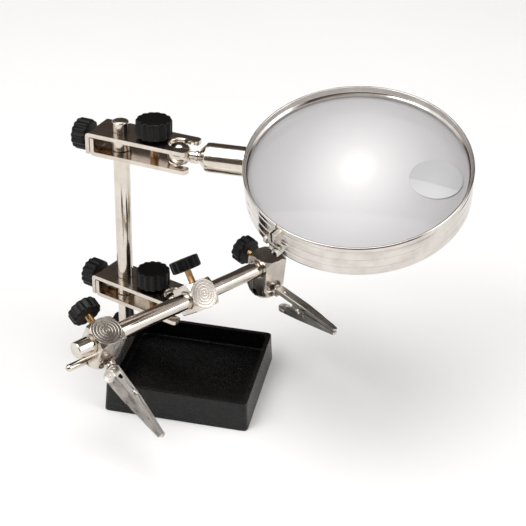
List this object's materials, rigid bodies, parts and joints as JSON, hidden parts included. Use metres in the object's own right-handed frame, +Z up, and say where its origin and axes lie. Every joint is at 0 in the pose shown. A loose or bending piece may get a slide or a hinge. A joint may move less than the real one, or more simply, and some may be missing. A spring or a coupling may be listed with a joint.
{
  "type": "helping hands clamp",
  "caption": "Bench stand that holds small work in spring clips under a magnifier, with ball clamps that slide on a post and a tray in its cast base.",
  "frame": {"origin": "centre of the underside of the tray's rectangle, on the table plane", "axes": "+X along the tray's front edge from the post towards the magnifier, +Y from front to back, +Z up along the post"},
  "size_m": [0.1889, 0.1337, 0.1496],
  "materials": {
    "black_casting": "black enamel over a slightly grainy casting",
    "nickel_plate": "warm bright nickel plating over pressed and turned metal",
    "chrome_plate": "mirror-bright warm plating",
    "brass_screw": "bare copper-coloured brass",
    "black_knob": "satin black moulding",
    "spring_steel": "plain bright steel",
    "lens_glass": "clear polished glass"
  },
  "bodies": {
    "root": {"base_tray": "black_casting", "post": "nickel_plate", "post_fixing_screw": "spring_steel"},
    "upper_sleeve": {"upper_post_sleeve": "nickel_plate"},
    "upper_clamp": {"upper_top_jaw": "nickel_plate", "upper_bottom_jaw": "nickel_plate"},
    "upper_ball_screw": {"upper_ball_screw": "brass_screw"},
    "upper_ball_knob": {"upper_ball_knob": "black_knob"},
    "upper_post_screw": {"upper_post_screw": "brass_screw"},
    "upper_post_knob": {"upper_post_knob": "black_knob"},
    "lower_sleeve": {"lower_post_sleeve": "nickel_plate"},
    "lower_clamp": {"lower_top_jaw": "nickel_plate", "lower_bottom_jaw": "nickel_plate"},
    "lower_ball_screw": {"lower_ball_screw": "brass_screw"},
    "lower_ball_knob": {"lower_ball_knob": "black_knob"},
    "lower_post_screw": {"lower_post_screw": "brass_screw"},
    "lower_post_knob": {"lower_post_knob": "black_knob"},
    "magnifier_ball": {"magnifier_ball": "chrome_plate"},
    "magnifier_neck": {"magnifier_neck": "chrome_plate"},
    "magnifier": {"magnifier_ferrule": "chrome_plate", "lens_rim": "chrome_plate", "rim_screw": "spring_steel", "lens_glass": "lens_glass"},
    "crossbar_ball": {"crossbar_ball": "chrome_plate"},
    "crossbar_stud": {"crossbar_stud": "chrome_plate"},
    "centre_block": {"centre_block": "nickel_plate"},
    "centre_screw": {"centre_screw": "brass_screw"},
    "centre_knob": {"centre_knob": "black_knob"},
    "crossbar": {"crossbar": "chrome_plate"},
    "left_block": {"left_block": "nickel_plate", "left_stem_pin": "nickel_plate"},
    "left_screw": {"left_screw": "brass_screw"},
    "left_knob": {"left_knob": "black_knob"},
    "left_clip": {"left_clip_stem": "nickel_plate", "left_held_jaw": "nickel_plate", "left_jaw_pivot": "nickel_plate", "left_jaw_spring": "spring_steel"},
    "left_lever_jaw": {"left_lever_jaw": "nickel_plate"},
    "right_block": {"right_block": "nickel_plate", "right_stem_pin": "nickel_plate"},
    "right_screw": {"right_screw": "brass_screw"},
    "right_knob": {"right_knob": "black_knob"},
    "right_clip": {"right_clip_stem": "nickel_plate", "right_held_jaw": "nickel_plate", "right_jaw_pivot": "nickel_plate", "right_jaw_spring": "spring_steel"},
    "right_lever_jaw": {"right_lever_jaw": "nickel_plate"}
  },
  "joints": [
    {"name": "upper_clamp_height", "type": "slide", "parent": "root", "child": "upper_sleeve", "axis": [0, 0, 1], "range_m": [-0.03, 0.005]},
    {"name": "upper_clamp_swivel", "type": "hinge", "parent": "upper_sleeve", "child": "upper_clamp", "pos_m": [-0.038, 0.0135, 0.1234], "axis": [0, 0, -1], "continuous": true},
    {"name": "upper_ball_screw_travel", "type": "slide", "parent": "upper_clamp", "child": "upper_ball_screw", "axis": [0, 0, 1], "range_m": [0, 0.0014]},
    {"name": "upper_ball_knob_turn", "type": "hinge", "parent": "upper_ball_screw", "child": "upper_ball_knob", "pos_m": [-0.02082, 0.01016, 0.1234], "axis": [0, 0, 1], "range_deg": [0, 720]},
    {"name": "upper_post_screw_travel", "type": "slide", "parent": "upper_clamp", "child": "upper_post_screw", "axis": [-0.9816, 0.1908, 0], "range_m": [0, 0.0014]},
    {"name": "upper_post_knob_turn", "type": "hinge", "parent": "upper_post_screw", "child": "upper_post_knob", "pos_m": [-0.038, 0.0135, 0.1234], "axis": [-0.9816, 0.1908, 0], "range_deg": [0, 720]},
    {"name": "lower_clamp_height", "type": "slide", "parent": "root", "child": "lower_sleeve", "axis": [0, 0, 1], "range_m": [-0.02, 0.025]},
    {"name": "lower_clamp_swivel", "type": "hinge", "parent": "lower_sleeve", "child": "lower_clamp", "pos_m": [-0.038, 0.0135, 0.0444], "axis": [0, 0, 1], "continuous": true},
    {"name": "lower_ball_screw_travel", "type": "slide", "parent": "lower_clamp", "child": "lower_ball_screw", "axis": [0, 0, 1], "range_m": [0, 0.0014]},
    {"name": "lower_ball_knob_turn", "type": "hinge", "parent": "lower_ball_screw", "child": "lower_ball_knob", "pos_m": [-0.02166, 0.00723, 0.0444], "axis": [0, 0, 1], "range_deg": [0, 720]},
    {"name": "lower_post_screw_travel", "type": "slide", "parent": "lower_clamp", "child": "lower_post_screw", "axis": [-0.9336, 0.3584, 0], "range_m": [0, 0.0014]},
    {"name": "lower_post_knob_turn", "type": "hinge", "parent": "lower_post_screw", "child": "lower_post_knob", "pos_m": [-0.038, 0.0135, 0.0444], "axis": [-0.9336, 0.3584, 0], "range_deg": [0, 720]},
    {"name": "magnifier_tilt", "type": "hinge", "parent": "upper_clamp", "child": "magnifier_ball", "pos_m": [-0.00806, 0.00768, 0.1234], "axis": [-0.1908, -0.9816, 0], "range_deg": [-30, 45]},
    {"name": "magnifier_swing", "type": "hinge", "parent": "magnifier_ball", "child": "magnifier_neck", "pos_m": [-0.00806, 0.00768, 0.1234], "axis": [0, 0, 1], "range_deg": [-16, 2]},
    {"name": "magnifier_spin", "type": "hinge", "parent": "magnifier_neck", "child": "magnifier", "pos_m": [-0.00806, 0.00768, 0.1234], "axis": [0.9991, -0.039, 0.0159], "continuous": true},
    {"name": "crossbar_tilt", "type": "hinge", "parent": "lower_clamp", "child": "crossbar_ball", "pos_m": [-0.00953, 0.00257, 0.0444], "axis": [0.3584, 0.9336, 0], "range_deg": [-40, 25]},
    {"name": "crossbar_swing", "type": "hinge", "parent": "crossbar_ball", "child": "crossbar_stud", "pos_m": [-0.00953, 0.00257, 0.0444], "axis": [0, 0, 1], "range_deg": [-1, 26]},
    {"name": "crossbar_spin", "type": "hinge", "parent": "crossbar_stud", "child": "centre_block", "pos_m": [-0.00953, 0.00257, 0.0444], "axis": [0.6595, -0.4686, 0.5878], "range_deg": [-35, 45]},
    {"name": "centre_screw_travel", "type": "slide", "parent": "centre_block", "child": "centre_screw", "axis": [-0.4791, 0.3405, 0.809], "range_m": [0, 0.001]},
    {"name": "centre_knob_turn", "type": "hinge", "parent": "centre_screw", "child": "centre_knob", "pos_m": [0.00498, -0.00774, 0.05733], "axis": [-0.4791, 0.3405, 0.809], "range_deg": [0, 720]},
    {"name": "crossbar_travel", "type": "slide", "parent": "centre_block", "child": "crossbar", "axis": [0.5793, 0.8151, 0], "range_m": [-0.025, 0.035]},
    {"name": "left_block_roll", "type": "hinge", "parent": "crossbar", "child": "left_block", "pos_m": [-0.02699, -0.05274, 0.05733], "axis": [0.5793, 0.8151, 0], "range_deg": [-180, 180]},
    {"name": "left_screw_travel", "type": "slide", "parent": "left_block", "child": "left_screw", "axis": [-0.7351, 0.5224, 0.4321], "range_m": [0, 0.001]},
    {"name": "left_knob_turn", "type": "hinge", "parent": "left_screw", "child": "left_knob", "pos_m": [-0.02699, -0.05274, 0.05733], "axis": [-0.7351, 0.5224, 0.4321], "range_deg": [0, 720]},
    {"name": "left_clip_swivel", "type": "hinge", "parent": "left_block", "child": "left_clip", "pos_m": [-0.02849, -0.05167, 0.04657], "axis": [0.7351, -0.5224, -0.4321], "continuous": true},
    {"name": "left_jaw_open", "type": "hinge", "parent": "left_clip", "child": "left_lever_jaw", "pos_m": [-0.0111, -0.06501, 0.03674], "axis": [-0.6299, -0.2907, -0.7202], "range_deg": [0, 14], "stiffness_Nm_per_rad": 0.25, "springref_deg": -28.65},
    {"name": "right_block_roll", "type": "hinge", "parent": "crossbar", "child": "right_block", "pos_m": [0.03122, 0.02918, 0.05733], "axis": [0.5793, 0.8151, 0], "range_deg": [-180, 45]},
    {"name": "right_screw_travel", "type": "slide", "parent": "right_block", "child": "right_screw", "axis": [-0.8118, 0.5769, 0.0906], "range_m": [0, 0.001]},
    {"name": "right_knob_turn", "type": "hinge", "parent": "right_screw", "child": "right_knob", "pos_m": [0.03122, 0.02918, 0.05733], "axis": [-0.8118, 0.5769, 0.0906], "range_deg": [0, 720]},
    {"name": "right_clip_swivel", "type": "hinge", "parent": "right_block", "child": "right_clip", "pos_m": [0.03288, 0.028, 0.0466], "axis": [0.8118, -0.5769, -0.0906], "continuous": true},
    {"name": "right_jaw_open", "type": "hinge", "parent": "right_clip", "child": "right_lever_jaw", "pos_m": [0.05229, 0.01421, 0.04343], "axis": [0.5793, 0.8151, 0], "range_deg": [0, 14], "stiffness_Nm_per_rad": 0.25, "springref_deg": -28.65}
  ],
  "couplings": [
    {"joint": "upper_ball_knob_turn", "follows": "upper_ball_screw_travel", "rad_per_m": 8976},
    {"joint": "upper_post_knob_turn", "follows": "upper_post_screw_travel", "rad_per_m": 8976},
    {"joint": "lower_ball_knob_turn", "follows": "lower_ball_screw_travel", "rad_per_m": 8976},
    {"joint": "lower_post_knob_turn", "follows": "lower_post_screw_travel", "rad_per_m": 8976},
    {"joint": "centre_knob_turn", "follows": "centre_screw_travel", "rad_per_m": 12566},
    {"joint": "left_knob_turn", "follows": "left_screw_travel", "rad_per_m": 12566},
    {"joint": "right_knob_turn", "follows": "right_screw_travel", "rad_per_m": 12566}
  ]
}
